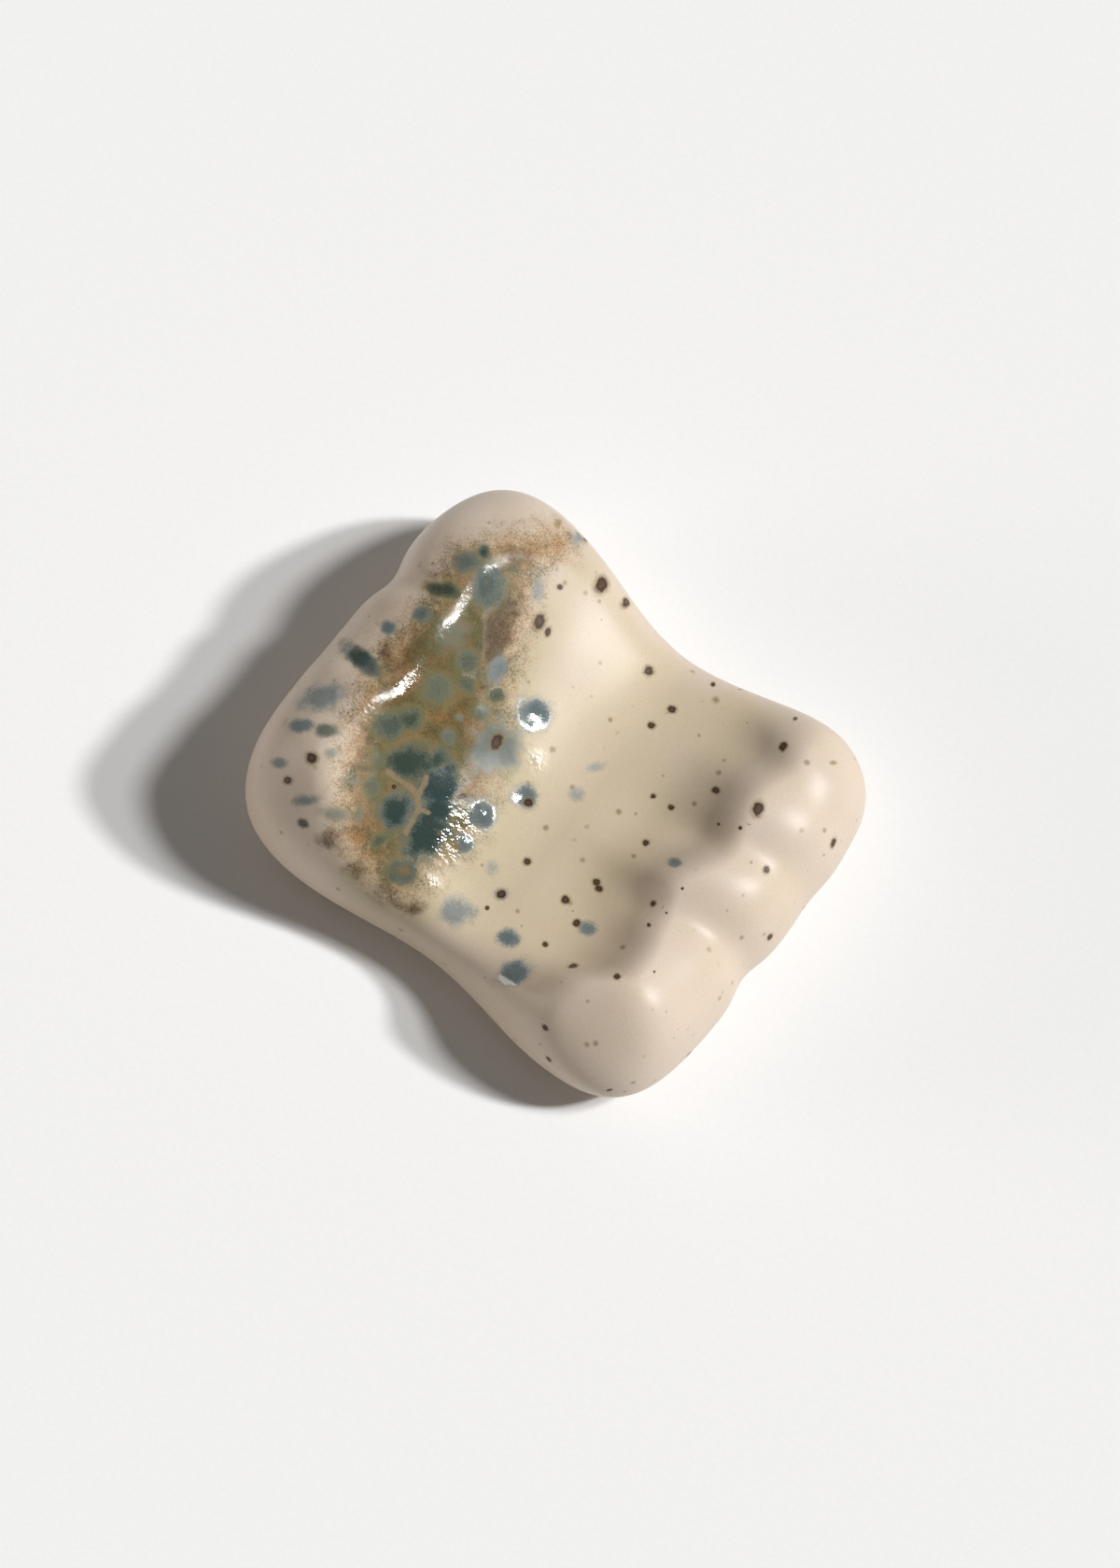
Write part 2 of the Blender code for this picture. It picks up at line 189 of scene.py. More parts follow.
# Blue and green spots in the view plane: place, half length, half width (mm), turn (degrees),
# darkness, greenness, lift of the surface (mm)
BLUE_SPOTS = (
    (-10.0, 23.8, 1.5, 1.2, 0, 0.55, 0.5, 0.03), (-7.8, 21.2, 2.6, 1.8, 75, 0.58, 0.35, 0.04),
    (-12.5, 20.8, 2.2, 0.9, -15, 0.85, 0.8, 0.02), (-14.7, 18.2, 1.0, 0.8, 0, 0.6, 0.35, 0.02),
    (-11.5, 16.0, 2.9, 2.1, 70, 0.2, 0.6, 0.03), (-10.0, 13.3, 1.4, 1.3, 0, 0.55, 0.7, 0.02),
    (-13.0, 10.3, 2.0, 1.6, 0, 0.5, 0.75, 0.03), (-18.3, 16.7, 0.9, 0.8, 0, 0.5, 0.2, 0.02),
    (-21.3, 13.3, 2.6, 1.0, -38, 0.9, 0.4, 0.03), (-25.5, 9.3, 2.7, 1.5, 20, 0.4, 0.05, 0.03),
    (-27.8, 6.3, 1.6, 0.8, -5, 0.45, 0.05, 0.02), (-25.0, 5.7, 1.4, 0.8, 0, 0.5, 0.6, 0.02),
    (-24.5, 3.3, 0.7, 0.6, 0, 0.25, 0.3, 0.0), (-30.0, 2.3, 1.0, 0.6, 0, 0.4, 0.1, 0.0),
    (-27.3, -1.8, 1.5, 0.7, 10, 0.4, 0.1, 0.02), (-27.5, -4.2, 0.6, 0.5, -30, 0.8, 0.1, -0.03),
    (-6.7, 12.3, 1.7, 1.1, 80, 0.4, 0.1, 0.04), (-6.8, 9.5, 1.0, 0.9, 0, 0.6, 0.75, 0.02),
    (-2.7, 7.5, 2.0, 1.9, 0, 0.5, 0.0, -0.16), (-7.0, 3.8, 3.0, 2.7, 60, 0.46, 0.35, -0.12),
    (-8.5, 7.7, 1.2, 1.0, 0, 0.45, 0.7, 0.02), (-10.0, 10.7, 1.0, 1.0, 0, 0.6, 0.8, 0.02),
    (-18.3, 6.3, 1.6, 1.5, 0, 0.65, 0.65, 0.03), (-16.0, 7.0, 1.4, 1.2, 0, 0.7, 0.7, 0.03),
    (-16.0, 2.3, 2.8, 2.1, 0, 0.9, 0.6, 0.05), (-17.5, -2.8, 2.2, 2.0, 0, 0.85, 0.35, 0.05),
    (-13.0, -0.3, 2.7, 2.0, 70, 1.0, 0.2, 0.03), (-14.2, -5.2, 3.4, 2.3, 55, 0.95, 0.35, 0.04),
    (-12.9, -2.6, 2.2, 1.7, 90, 0.95, 0.2, 0.03), (-8.3, -3.2, 1.4, 1.6, 0, 0.55, 0.15, 0.2),
    (-3.8, -1.3, 1.4, 1.4, 0, 0.5, 0.1, -0.12), (-10.2, -6.3, 1.1, 1.0, 90, 0.5, 0.2, 0.12),
    (-12.0, 5.0, 1.0, 0.9, 90, 0.4, 0.6, 0.0), (-10.8, 7.2, 0.5, 0.5, 0, 0.3, 0.5, 0.0),
    (-20.0, -0.3, 1.4, 1.2, 90, 0.45, 0.8, 0.02), (-19.5, 2.7, 1.1, 0.9, 90, 0.4, 0.85, 0.02),
    (-16.8, -9.3, 1.7, 1.5, 0, 0.65, 0.6, 0.03), (-11.0, -13.7, 2.0, 1.6, 0, 0.36, 0.05, 0.05),
    (-19.2, -6.0, 1.2, 0.6, 35, 0.6, 0.8, 0.0), (-22.0, 0.3, 0.9, 0.7, 0, 0.25, 0.6, 0.0),
    (-24.0, -3.3, 2.0, 0.8, -10, 0.3, 0.5, 0.0), (-21.5, -3.3, 1.0, 0.5, 90, 0.3, 0.6, 0.0),
    (-2.3, 20.8, 1.3, 0.7, 85, 0.2, 0.0, 0.0), (2.2, 26.7, 1.0, 0.6, 60, 0.4, 0.0, 0.0),
    (3.8, 1.8, 1.3, 0.6, 15, 0.15, 0.0, 0.0), (1.7, -1.2, 0.9, 0.9, 0, 0.2, 0.0, 0.0),
    (-7.3, -9.0, 0.8, 0.8, 0, 0.15, 0.0, 0.0), (-6.3, -11.8, 0.9, 0.7, 0, 0.35, 0.05, 0.0),
    (-5.5, -16.5, 1.2, 1.0, 0, 0.55, 0.05, 0.02), (-5.0, -20.2, 2.0, 1.3, 25, 0.5, 0.0, 0.03),
    (2.9, -15.5, 1.0, 0.8, 0, 0.45, 0.0, 0.0), (12.3, -8.4, 0.8, 0.5, 0, 0.55, 0.1, 0.0),
    (-8.2, 24.9, 0.8, 0.6, 90, 0.8, 0.5, 0.0), (-13.1, 2.6, 1.5, 1.2, 60, 0.75, 0.55, 0.0),
)

# Dark peppery smears and rusty patches in the view plane: place, half sizes (mm), strength
PEPPER_PATCHES = (
    (-6.6, 16.8, 1.7, 3.2, 1.0), (-12.7, 22.5, 2.0, 1.0, 0.6), (-18.7, 14.3, 1.3, 1.5, 0.7),
    (-4.3, 19.3, 1.6, 2.6, 0.5), (-24.3, 9.0, 0.6, 2.4, 0.6), (-9.0, 25.6, 2.0, 1.2, 0.25),
    (-24.7, -6.0, 1.8, 1.4, 0.8), (-22.0, -9.0, 1.8, 1.4, 0.8), (-19.0, -11.7, 1.8, 1.4, 0.8),
    (-15.7, -13.3, 1.8, 1.2, 0.8), (-9.7, 12.0, 1.2, 1.5, 0.6), (-7.2, 13.6, 0.9, 1.6, 0.9),
    (-4.6, 24.6, 2.4, 1.2, 0.6), (-6.3, 8.7, 1.5, 1.0, 0.5), (-10.0, 6.0, 0.8, 1.5, 0.5),
)
RUST_PATCHES = (
    (0.3, 25.7, 2.0, 1.2, 0.6), (-8.3, 18.7, 1.2, 1.5, 0.6), (-13.0, 7.7, 2.2, 1.6, 0.8),
    (-23.0, 8.0, 1.0, 2.5, 0.5), (-22.3, -5.7, 2.5, 2.0, 0.7), (-23.3, 1.0, 1.6, 2.5, 0.5),
)
# Pale lines where the thick spots pulled apart, as view-plane ends (mm)
PALE_LINES = (
    (-18.5, 1.3, -16.0, -0.3), (-16.0, -0.3, -15.2, -1.4), (-15.2, -1.4, -14.3, 0.7),
    (-15.2, -1.4, -15.1, -2.7), (-15.1, -2.7, -14.1, -3.1), (-15.1, -2.7, -16.5, -5.2),
)

# Thick places with a wrinkled gloss, in the view plane: place, half sizes (mm), strength
SPARKLES = (
    (-10.6, -4.2, 1.7, 1.9, 1.0), (-12.2, -6.8, 1.7, 1.8, 1.0), (-14.2, -10.6, 1.2, 0.9, 0.9),
    (-2.5, 2.5, 1.0, 1.3, 0.6), (-13.6, 16.1, 1.3, 2.6, 0.4), (-10.6, 21.4, 1.1, 1.6, 0.4),
    (-20.4, 8.4, 1.2, 2.6, 0.45), (-17.6, 10.8, 2.2, 1.2, 0.35), (-8.6, -3.6, 1.2, 1.5, 0.5),
)

# Iron specks in the view plane: place, half length, half width (mm), turn (degrees)
IRON_SPECKS = (
    (4.5, 21.4, 0.85, 0.65, 75), (7.1, 19.5, 0.55, 0.42, 60), (2.7, 26.2, 0.3, 0.3, 0),
    (-2.2, 17.4, 0.8, 0.58, 70), (-1.3, 16.3, 0.5, 0.3, 70), (0.0, 21.1, 0.3, 0.28, 0),
    (9.5, 12.1, 0.5, 0.47, 0), (9.8, 6.3, 0.37, 0.35, 0), (12.0, 8.0, 0.45, 0.38, 0),
    (9.2, -6.3, 0.36, 0.3, 20), (-3.5, -8.3, 0.38, 0.36, 0), (3.9, -10.5, 0.38, 0.34, 0),
    (4.2, -11.2, 0.38, 0.34, 0), (0.6, -12.4, 0.42, 0.38, 0), (-6.3, -11.8, 0.45, 0.42, 0),
    (-7.8, -13.3, 0.22, 0.22, 0), (-26.6, 2.8, 0.55, 0.55, 0), (-29.2, 0.4, 0.42, 0.38, 0),
    (-6.8, 4.5, 0.85, 0.6, 60), (-3.4, -2.0, 0.45, 0.4, 0), (-10.5, -1.3, 0.6, 0.3, 10),
    (-17.8, -0.3, 0.25, 0.25, 0), (-27.5, -4.2, 0.45, 0.32, -30), (16.4, 10.7, 0.24, 0.24, 0),
    (25.2, 7.0, 0.22, 0.18, 40), (23.9, 4.0, 0.45, 0.36, 60), (16.7, -0.7, 0.37, 0.35, 0),
    (11.9, -2.5, 0.3, 0.28, 0), (10.0, -1.3, 0.26, 0.26, 0), (21.2, -2.7, 0.72, 0.55, 70),
    (19.3, -4.7, 0.18, 0.18, 0), (17.0, -4.3, 0.14, 0.14, 0), (10.0, -12.8, 0.3, 0.26, 40),
    (1.8, -14.9, 0.4, 0.36, 0), (-1.6, -17.2, 0.28, 0.26, 0), (22.1, -9.2, 0.4, 0.33, 80),
    (29.3, -6.3, 0.5, 0.24, 70), (22.5, -16.4, 0.36, 0.22, 60), (1.4, -19.5, 0.45, 0.33, 15),
    (6.1, -20.6, 0.32, 0.28, 0), (9.5, -15.1, 0.18, 0.18, 0), (-1.6, -26.1, 0.36, 0.22, -50),
    (-1.2, -29.5, 0.34, 0.17, -45), (13.8, -29.0, 0.38, 0.22, 50), (5.3, -32.8, 0.28, 0.12, 15),
    (11.4, -13.8, 0.11, 0.11, 0), (13.1, -11.2, 0.14, 0.14, 0), (10.1, -20.1, 0.11, 0.11, 0),
)
# Rusty and half-melted specks, listed the same way
RUSTY_SPECKS = (
    (-0.2, 28.0, 0.6, 0.4, 60), (-20.3, 3.9, 0.6, 0.35, -10), (-19.0, 1.0, 0.27, 0.27, 0),
    (-1.4, 23.2, 0.2, 0.2, 0), (5.4, 6.9, 0.28, 0.28, 0), (7.9, -7.7, 0.28, 0.26, 0),
    (-0.8, 3.7, 0.35, 0.35, 0), (6.3, -3.0, 0.35, 0.32, 0), (19.3, 10.1, 0.3, 0.18, 0),
    (16.7, 9.0, 0.42, 0.38, 0), (14.0, 13.2, 0.17, 0.17, 0), (26.5, 2.3, 0.33, 0.3, 0),
    (29.3, 2.3, 0.4, 0.25, 0), (31.6, 2.7, 0.2, 0.16, 80), (17.0, 1.2, 0.3, 0.3, 0),
    (14.4, -2.1, 0.28, 0.28, 0), (-1.5, -4.7, 0.32, 0.32, 0), (20.5, -8.4, 0.17, 0.17, 0),
    (26.2, -13.3, 0.3, 0.25, 0), (6.7, -17.5, 0.32, 0.24, 30), (3.8, -27.8, 0.3, 0.3, 0),
    (-16.8, -9.3, 0.8, 0.6, 0),
)
# Greenish stain of the cream inside the hollow: its reach (mm) beside the reactive glaze, strength
STAIN_REACH = 7.0
STAIN = 0.8
STAIN_X = -0.0150
STAIN_RUN = 0.0060
# Cream that gathered in the hollow: its depth, and where it thins out by the widest line (radians)
POOL_DEPTH = 0.0060
POOL_RIM = 0.25
POOL_RIM_RUN = 0.6
# Specks are kept in layers whose specks don't meet. Each is known to points as far off as its
# melted edge (a share of its half length) and a margin (mm), and a slope that turns from the view
# draws it out no further than the least cosine says
IRON_LAYERS = ("iron_specks_1", "iron_specks_2", "iron_specks_3")
RUSTY_LAYERS = ("rusty_specks_1", "rusty_specks_2")
SPECK_HALO = 1.9
SPECK_MARGIN = 0.5
SPECK_LEAST_FACING = 0.55
TINY = 0.000001
# Specks strewn on the walls that the view doesn't show
HIDDEN_SPECKS = 26
HIDDEN_SPECK_SEED = 11
HIDDEN_SPECK_RADII = (0.18, 0.5)

# Patterns in the glaze: size (mm), detail, roughness of the detail and bend of its clouds, the
# wander of the spots' edges, its ragged tears, sand, streaks, the specks' melted edges, the peel of
# its skin and its wrinkles
GLAZE_PATTERNS = (
    (6.0, 3.0, 0.5, 0.0), (1.6, 1.0, 0.5, 0.0), (1.5, 5.0, 0.65, 0.0), (0.22, 2.0, 0.7, 0.0),
    (2.8, 5.0, 0.6, 0.6), (0.5, 2.0, 0.5, 0.0), (1.3, 2.0, 0.5, 0.0), (0.55, 1.0, 0.5, 0.0),
)
# Sheen of the fired surfaces, and heights of the relief that is too fine for the surface grid
SATIN_ROUGHNESS = 0.36
SATIN_SHINE = 0.19
DRY_SHINE = 0.06
GLOSS_ROUGHNESS = 0.09
GLOSS_SHINE = 0.45
PEEL_HEIGHT = 0.000008
TOOTH_HEIGHT = 0.000010
WRINKLE_HEIGHT = 0.000130
SPOT_WRINKLE = 0.05
GLAZE_IOR = 1.5
CLAY_ROUGHNESS = 0.85
CLAY_GRIT_HEIGHT = 0.000060
BOARD_ROUGHNESS = 0.95


def linear(code):
    """Linear colour of an sRGB hex code."""
    parts = [int(code[i:i + 2], 16) / 255.0 for i in (1, 3, 5)]
    return tuple(c / 12.92 if c <= 0.04045 else ((c + 0.055) / 1.055) ** 2.4 for c in parts)


def per_mm(size):
    """Texture scale that gives a pattern features of a size in millimetres on metre coordinates."""
    return 1.0 / (size * MM)


def length_prop(name, default, description):
    return bpy.props.FloatProperty(
        name=name, description=description, default=default, min=0.0, unit='LENGTH', precision=5)


def colour_prop(name, code, description):
    return bpy.props.FloatVectorProperty(
        name=name, description=description, default=linear(code), size=3, subtype='COLOR',
        min=0.0, max=1.0)


class RestSizes(bpy.types.PropertyGroup):
    """Sizes of the rest that a potter would change."""
    half_length: length_prop("Half length", 0.0290, "Half of the plan across the two ridges")
    half_width: length_prop("Half width", 0.0256, "Half of the plan along the ridges")
    left_height: length_prop("Left height", 0.0219, "Height of the block at the taller ridge")
    right_height: length_prop("Right height", 0.0157, "Height of the block at the lower ridge")
    saddle_height: length_prop("Saddle height", 0.0097, "Height of the hollow between the ridges")
    glaze: length_prop("Glaze thickness", 0.0005, "Thickness of the fired glaze")


class RestColours(bpy.types.PropertyGroup):
    """Colours of the clay, the glazes and the floor."""
    thin_cream: colour_prop("Thin cream", "#cbbbaa", "Cream glaze where it is thin")
    pooled_cream: colour_prop("Pooled cream", "#c9b99f", "Cream glaze where it gathered")
    stained_cream: colour_prop("Stained cream", "#bcae8e", "Cream glaze beside the reactive glaze")
    wash: colour_prop("Wash", "#b79a76", "Reactive glaze where it is thin")
    ochre: colour_prop("Ochre", "#795b36", "Reactive glaze where it is thick")
    umber: colour_prop("Umber", "#57422b", "Reactive glaze, its dark streaks")
    olive: colour_prop("Olive", "#5c5a3b", "Reactive glaze stained by the spots")
    rust: colour_prop("Rust", "#a87a4c", "Reactive glaze where iron burned orange")
    pepper: colour_prop("Pepper", "#3d2f22", "Fine dark grains in the reactive glaze")
    deep_teal: colour_prop("Deep teal", "#233b40", "Thick middle of the dark spots")
    deep_green: colour_prop("Deep green", "#374130", "Thick middle of the green spots")
    blue_grey: colour_prop("Blue grey", "#7b888c", "Thin blue spots")
    pale_green: colour_prop("Pale green", "#6f6d50", "Thin green spots")
    pale_ring: colour_prop("Pale ring", "#b9ac86", "Ring that a spot leaves round itself")
    pale_line: colour_prop("Pale line", "#85755d", "Gaps between thick spots")
    iron: colour_prop("Iron", "#33211a", "Rim of the iron specks")
    crust: colour_prop("Crust", "#523b2e", "Middle of the iron specks")
    halo: colour_prop("Iron halo", "#7f6b43", "Melted edge of an iron speck")
    clay: colour_prop("Clay", "#a58e74", "Bare fired stoneware")
    floor: colour_prop("Floor", "#f1f1f1", "Matt white studio floor")


def ramp(value):
    """Rise from 0 to 1 with level ends, a fifth-power curve."""
    t = np.clip(value, 0.0, 1.0)
    return t ** 3 * (t * (6.0 * t - 15.0) + 10.0)


def dent(x, y, side, crest_y, slant, half_width):
    """Share of a finger dent: a bell, exp(-(distance from middle line / half width) squared)."""
    centre = crest_y + slant * (x * side - CREST_X)
    return np.exp(-((y - centre) / half_width) ** 2)


def raw_outline(sizes, theta):
    """Plan outline: a superellipse, drawn in at the waist by a bell curve, skewed and dented."""
    c = np.cos(theta)
    s = np.sin(theta)
    reach = (np.abs(c) ** CORNER_POWER + np.abs(s) ** CORNER_POWER) ** (-1.0 / CORNER_POWER)
    x = sizes.half_length * reach * c
    y = sizes.half_width * reach * s
    depth = np.where(s > 0.0, WAIST_BACK, WAIST_FRONT)
    waist = np.exp(-((x - WAIST_X) / WAIST_WIDTH) ** 2) * np.minimum(1.0, np.abs(reach * s)) ** 2
    y = y - np.sign(s) * depth * waist + SKEW * x
    for side, crest_y, slant, _, wall_depth, half_width in FINGER_DENTS:
        share = ramp((x * side - WALL_DENT_START_X) / WALL_DENT_RUN)
        x = x - side * wall_depth * share * dent(x, y, side, crest_y, slant, half_width)
    return x, y


def outline(sizes, theta):
    """Plan outline with the middle of its box at the origin."""
    all_x, all_y = raw_outline(sizes, np.linspace(0.0, TURN, OUTLINE_STEPS, endpoint=False))
    x, y = raw_outline(sizes, theta)
    return x - (all_x.min() + all_x.max()) / 2.0, y - (all_y.min() + all_y.max()) / 2.0


def changes(y, steps):
    """Sum of smooth steps along Y."""
    return sum(size * ramp((y - start) / run) for start, run, size in steps)


def block(sizes, x, y):
    """Height of the squeezed block: a tanh step from the lower to the taller side, drooping ends,
    and smooth steps along the crests of both ridges."""
    left = 0.5 * (1.0 - np.tanh((x - STEP_X) / STEP_RUN))
    height = sizes.right_height + (sizes.left_height - sizes.right_height) * left
    height = height + changes(y, CREST_STEPS) * ramp((x - CREST_STEPS_X) / CREST_STEPS_RUN)
    height = height + changes(y, LOBE_STEPS) * ramp((x - LOBE_STEPS_X) / LOBE_STEPS_RUN)
    return height - END_DROOP * (y / sizes.half_width) ** 2


def hollow(sizes, x, y):
    """Height of the hollow: a hyperbola up to the left, a cubic up to the scalloped right."""
    shift = changes(y, FRONT_LOBE)
    for scallop_y, half_width, size in SCALLOPS:
        shift = shift + size * np.exp(-((y - scallop_y) / half_width) ** 2)
    out_left = np.maximum(SADDLE_X - x, 0.0)
    out_right = np.maximum(x - SADDLE_X - shift, 0.0)
    height = sizes.saddle_height + LEFT_SLOPE * (np.hypot(out_left, LEFT_BEND) - LEFT_BEND)
    height = height + RIGHT_RISE * (out_right / RIGHT_RUN) ** RIGHT_POWER
    height = height + changes(y, FRONT_LIP) * ramp((x - FRONT_LIP_X) / FRONT_LIP_RUN)
    return height - END_DROOP * (y / sizes.half_width) ** 2


def soft_min(a, b, rounding):
    """The lower of two heights, with a parabola across the place where they meet."""
    near = np.maximum(rounding - np.abs(a - b), 0.0) / rounding
    return np.minimum(a, b) - near ** 2 * rounding / 4.0


def hand_waves(x, y):
    """Sum of a few long, low sine waves in different directions."""
    total = np.zeros_like(x)
    for wave_length, height, bearing, phase in HAND_WAVES:
        angle = math.radians(bearing)
        along = x * math.cos(angle) + y * math.sin(angle)
        total = total + height * np.sin(TURN * along / wave_length + phase)
    return total


def form(sizes, theta, phi):
    """Outer surface: rho = cos(phi) scales the outline; above the widest line the height is the
    soft minimum of the shouldered block and the hollow less the dents, below it a rounded turn."""
    rho = np.cos(phi)
    edge_x, edge_y = outline(sizes, theta)
    rim = soft_min(block(sizes, edge_x, edge_y), hollow(sizes, edge_x, edge_y), RIM_ROUNDING)
    equator = EQUATOR_SHARE * rim
    x = edge_x * rho
    y = edge_y * rho
    change = ramp((SHOULDER_CHANGE_X - edge_x) / SHOULDER_CHANGE_RUN)
    back = ramp((edge_y - BACK_SHOULDER_Y) / BACK_SHOULDER_RUN)
    front = ramp((edge_y - FRONT_SHOULDER_Y) / FRONT_SHOULDER_RUN)
    left_power = LEFT_SHOULDER_POWER + (BACK_SHOULDER_POWER - LEFT_SHOULDER_POWER) * back
    right_power = RIGHT_SHOULDER_POWER + (FRONT_SHOULDER_POWER - RIGHT_SHOULDER_POWER) * front
    power = right_power + (left_power - right_power) * change
    full = np.sqrt(np.clip(1.0 - rho ** power, 0.0, 1.0))
    edge = np.sqrt(np.clip(1.0 - rho ** HOLLOW_EDGE_POWER, 0.0, 1.0))
    outer = equator + (block(sizes, x, y) - equator) * full
    inner = equator + (hollow(sizes, x, y) - equator) * edge
    rounding = CREST_ROUNDING + (RIGHT_CREST_ROUNDING - CREST_ROUNDING) * ramp(x / RIGHT_CREST_RUN)
    softer = ramp((y - BACK_CREST_Y) / BACK_CREST_RUN)
    rounding = rounding + (BACK_CREST_ROUNDING - rounding) * softer
    rounding = rounding * np.clip(full / RIM_FADE, RIM_LEAST, 1.0)
    top = np.maximum(soft_min(outer, inner, rounding), equator)
    for side, crest_y, slant, depth, _, half_width in FINGER_DENTS:
        share = ramp((x * side - DENT_START_X) / DENT_RUN) * full
        top = top - depth * share * dent(x, y, side, crest_y, slant, half_width)
    top = top + hand_waves(x, y) * edge
    under = np.clip((rho - FOOT_SHARE) / (1.0 - FOOT_SHARE), 0.0, 1.0) ** UNDERSIDE_POWER
    below = equator * (1.0 - np.sqrt(1.0 - under))
    return np.stack((x, y, np.where(phi >= 0.0, top, below)), axis=-1)


def grid_normals(points):
    """Outward unit normals of a grid of rows (top to foot) by columns (round the wall)."""
    down = np.gradient(points, axis=0)
    round_wall = np.roll(points, -1, axis=1) - np.roll(points, 1, axis=1)
    normals = np.cross(down, round_wall)
    size = np.linalg.norm(normals, axis=-1, keepdims=True)
    normals = normals / np.maximum(size, LEAST_CELL)
    return np.where(size > LEAST_CELL, normals, np.array((0.0, 0.0, 1.0)))


def closed_mesh(name, rows):
    """Mesh of rings between two poles: the first and the last row are each drawn to one point."""
    count, columns = rows.shape[:2]
    inner = rows[1:-1].reshape(-1, 3)
    points = np.concatenate((rows[0].mean(axis=0)[None], inner, rows[-1].mean(axis=0)[None]))
    ring = np.arange((count - 2) * columns).reshape(count - 2, columns) + 1
    after = np.roll(ring, -1, axis=1)
    quads = np.stack((ring[:-1], ring[1:], after[1:], after[:-1]), axis=-1).reshape(-1, 4)
    start = np.stack((np.zeros(columns, dtype=int), ring[0], after[0]), axis=-1)
    last = np.full(columns, len(points) - 1)
    finish = np.stack((last, after[-1], ring[-1]), axis=-1)
    mesh = bpy.data.meshes.new(name)
    mesh.from_pydata(points.tolist(), [], quads.tolist() + start.tolist() + finish.tolist())
    mesh.polygons.foreach_set("use_smooth", np.ones(len(mesh.polygons), dtype=bool))
    mesh.update()
    return mesh


def grid_values(rows):
    """Values of a grid in the order of closed_mesh's points."""
    return np.concatenate((rows[0].mean(axis=0)[None], rows[1:-1].reshape(-1, *rows.shape[2:]),
                           rows[-1].mean(axis=0)[None]))


def view_axes():
    """The photograph's right, up and backward directions in the part's frame."""
    a = math.radians(VIEW_AZIMUTH)
    e = math.radians(VIEW_ELEVATION)
    right = Vector((math.cos(a), math.sin(a), 0.0))
    back = Vector((math.sin(a) * math.cos(e), -math.cos(a) * math.cos(e), math.sin(e)))
    return right, back.cross(right), back


def seen_at(points):
    """View-plane place (mm right and up) of points, by perspective from the photograph's camera."""
    right, up, back = (np.array(axis) for axis in view_axes())
    offset = points - np.array(VIEW_TARGET)
    scale = VIEW_DISTANCE / (VIEW_DISTANCE - offset @ back) / MM
    return offset @ right * scale, offset @ up * scale


def facing_view(points, normals):
    """Cosine between the normals and the way to the photograph's camera."""
    camera = np.array(VIEW_TARGET) + np.array(view_axes()[2]) * VIEW_DISTANCE
    to_camera = camera - points
    return np.sum(normals * to_camera, axis=-1) / np.linalg.norm(to_camera, axis=-1)


def turned(u, v, turn):
    """Offsets along and across a mark that is turned in the view plane."""
    c = math.cos(math.radians(turn))
    s = math.sin(math.radians(turn))
    return u * c + v * s, v * c - u * s


def oval_share(u, v, place_u, place_v, half_length, half_width, turn):
    """Distance from an oval's middle as a share of its reach: 1 on its edge."""
    along, across = turned(u - place_u, v - place_v, turn)
    return np.hypot(along / half_length, across / half_width)


def line_distance(u, v, start_u, start_v, end_u, end_v):
    """Distance from a straight line between two places."""
    run_u = end_u - start_u
    run_v = end_v - start_v
    share = ((u - start_u) * run_u + (v - start_v) * run_v) / (run_u ** 2 + run_v ** 2)
    share = np.clip(share, 0.0, 1.0)
    return np.hypot(u - start_u - share * run_u, v - start_v - share * run_v)


def inside_reactive(u, v):
    """Distance to the reactive glaze's edge, positive inside it: a line to the right crosses the
    edge an odd number of times."""
    distance = np.full(u.shape, UNSEEN)
    crossings = np.zeros(u.shape, dtype=int)
    for (u0, v0), (u1, v1) in zip(REACTIVE_EDGE, REACTIVE_EDGE[1:] + REACTIVE_EDGE[:1]):
        distance = np.minimum(distance, line_distance(u, v, u0, v0, u1, v1))
        between = (v0 > v) != (v1 > v)
        rise = v1 - v0 if v1 != v0 else TINY
        crossings = crossings + (between & (u < u0 + (v - v0) * (u1 - u0) / rise))
    return np.where(crossings % 2 == 1, distance, -distance)


def patches(u, v, places):
    """Sum of bell-shaped patches, at most 1."""
    total = np.zeros(u.shape)
    for place_u, place_v, half_u, half_v, strength in places:
        share = oval_share(u, v, place_u, place_v, half_u, half_v, 0)
        total = total + strength * np.exp(-share ** 2)
    return np.minimum(total, 1.0)


# Settings that many nodes share
MIX = {"data_type": 'RGBA'}
SMOOTH = {"interpolation_type": 'SMOOTHSTEP'}
TIMES = {"operation": 'MULTIPLY'}
PLUS = {"operation": 'ADD'}
MOST = {"operation": 'MAXIMUM'}
SCALED = {"operation": 'SCALE'}


def feed(tree, node, inputs):
    """Give a node its inputs, listed by socket or in the order of the sockets: one that is a socket
    is linked, any other value is set, a colour with full cover."""
    for key, value in inputs.items() if isinstance(inputs, dict) else enumerate(inputs):
        socket = node.inputs[key]
        if isinstance(value, bpy.types.NodeSocket):
            tree.links.new(value, socket)
        else:
            socket.default_value = (*value, 1.0) if socket.type == 'RGBA' else value


def add(tree, kind, inputs=(), out=None, **settings):
    """Add a shader node with its settings and inputs; gives the named or the first live output."""
    node = tree.nodes.new("ShaderNode" + kind)
    for key, value in settings.items():
        setattr(node, key, value)
    feed(tree, node, inputs)
    if out is not None:
        return node.outputs[out]
    return next(socket for socket in node.outputs if socket.enabled)


def new_material(name):
    """A material, its tree, the way to add a node to it, and its shader."""
    material = bpy.data.materials.new(name)
    material.use_nodes = True
    tree = material.node_tree
    return material, tree, partial(add, tree), tree.nodes["Principled BSDF"]


